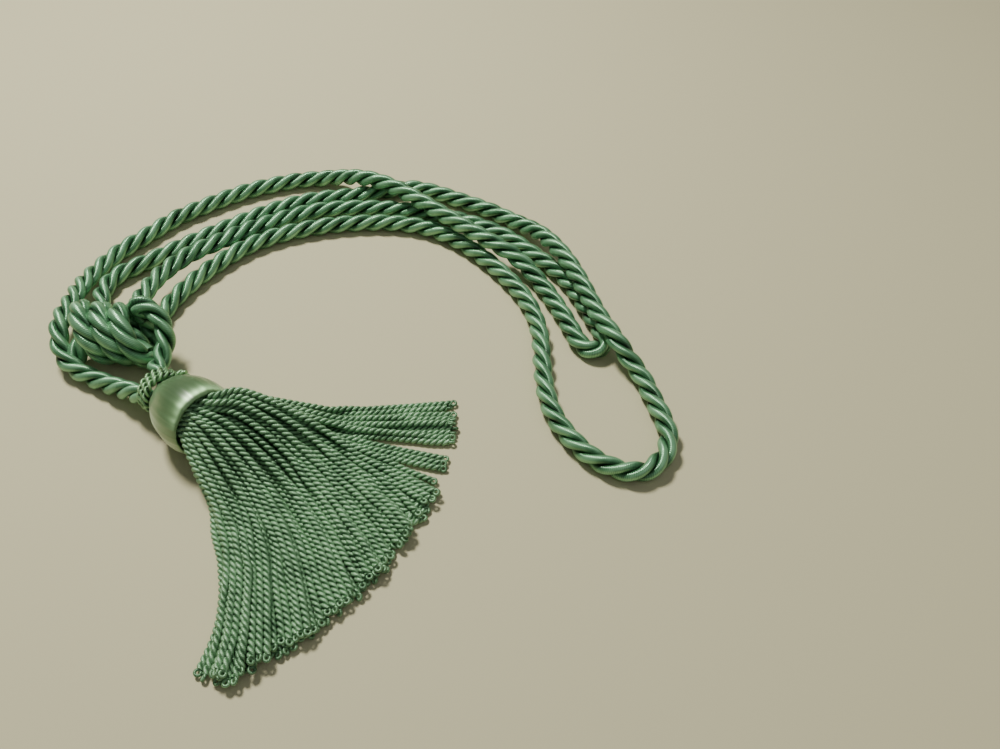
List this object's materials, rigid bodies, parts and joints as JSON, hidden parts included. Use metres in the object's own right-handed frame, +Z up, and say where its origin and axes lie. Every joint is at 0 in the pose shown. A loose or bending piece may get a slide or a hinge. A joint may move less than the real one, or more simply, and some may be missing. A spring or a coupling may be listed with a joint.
{
  "type": "curtain tieback",
  "caption": "Curtain tieback of twisted green rope wound into a knot, with long hanging loops and a bullion tassel under a thread-covered head; laid flat",
  "frame": {"origin": "middle of the tassel and knot on the surface that they lie on", "axes": "+X along the longer loop's reach, +Y towards the loops' far side, +Z up"},
  "size_m": [0.3364, 0.3436, 0.0371],
  "materials": {
    "rope": "satin rayon threads in a three-ply rope",
    "gimp": "satin wound cord",
    "head_threads": "satin threads laid side by side",
    "bullion": "satin twisted yarn"
  },
  "bodies": {
    "root": {"loop_wide": "rope", "loop_narrow": "rope", "knot": "rope", "neck_left": "rope", "neck_right": "rope", "collar": "gimp", "head": "head_threads", "skirt": "bullion"}
  },
  "joints": []
}
